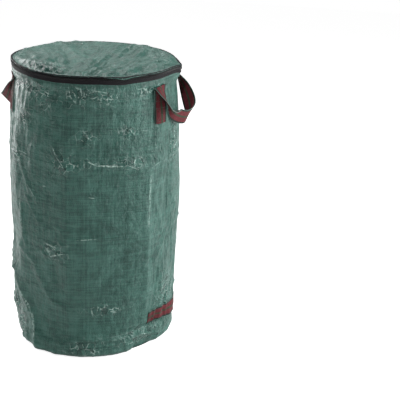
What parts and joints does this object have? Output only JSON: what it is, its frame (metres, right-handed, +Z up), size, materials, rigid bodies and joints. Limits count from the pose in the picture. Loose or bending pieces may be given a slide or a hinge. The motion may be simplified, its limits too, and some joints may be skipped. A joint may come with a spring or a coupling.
{
  "type": "pop up leaf bag",
  "caption": "Tall round woven garden bag with a zipped lid, two side carrying loops and a low tipping strap; stands open by itself for leaves and clippings.",
  "frame": {"origin": "middle of the base, on the surface the bag stands on", "axes": "+Z up along the bag's axis; -Y towards the front of the zip; +Y towards the lid's hinge; the side handles on +X and -X, with the tipping strap low on +X"},
  "size_m": [0.5044, 0.45, 0.76],
  "materials": {
    "cloth": "woven polypropylene, satin",
    "binding": "matte tape",
    "zip_tape": "knitted tape",
    "zip_coil": "nylon coil",
    "webbing": "woven webbing with a stripe and dark edges",
    "hoop": "smooth rod",
    "slider": "semi-gloss black"
  },
  "bodies": {
    "bag": {"side_wall": "cloth", "base_panel": "cloth", "base_binding": "binding", "rim_casing": "cloth", "rim_hoop": "hoop", "hoop_joiner": "hoop", "lower_zip_tape": "zip_tape", "lower_zip_coil": "zip_coil", "zip_stop_right": "zip_coil", "zip_stop_left": "zip_coil", "hinge_strip": "cloth", "right_front_tab": "webbing", "right_rear_tab": "webbing", "left_front_tab": "webbing", "left_rear_tab": "webbing", "tip_strap_front_tab": "webbing", "tip_strap_rear_tab": "webbing"},
    "lid": {"lid_panel": "cloth", "upper_zip_tape": "zip_tape", "upper_zip_coil": "zip_coil"},
    "slider": {"zip_slider": "slider"},
    "pull": {"zip_pull": "slider"},
    "right_handle": {"right_handle_loop": "webbing"},
    "left_handle": {"left_handle_loop": "webbing"},
    "tip_strap": {"tip_strap_span": "webbing"}
  },
  "joints": [
    {"name": "lid_hinge", "type": "hinge", "parent": "bag", "child": "lid", "pos_m": [0, 0.2143, 0.76], "axis": [-1, 0, 0], "range_deg": [0, 265]},
    {"name": "zip_travel", "type": "hinge", "parent": "bag", "child": "slider", "pos_m": [0, 0, 0.752], "axis": [0, 0, -1], "range_deg": [0, 321]},
    {"name": "pull_swing", "type": "hinge", "parent": "slider", "child": "pull", "pos_m": [0.07277, 0.20548, 0.752], "axis": [0, 0, 1], "range_deg": [0, 180]},
    {"name": "right_handle_swing", "type": "hinge", "parent": "bag", "child": "right_handle", "pos_m": [0.1999, 0, 0.707], "axis": [0, -1, 0], "range_deg": [0, 120]},
    {"name": "left_handle_swing", "type": "hinge", "parent": "bag", "child": "left_handle", "pos_m": [-0.1999, 0, 0.707], "axis": [0, 1, 0], "range_deg": [0, 120]},
    {"name": "tip_strap_pull", "type": "slide", "parent": "bag", "child": "tip_strap", "axis": [1, 0, 0], "range_m": [0, 0.02]}
  ]
}
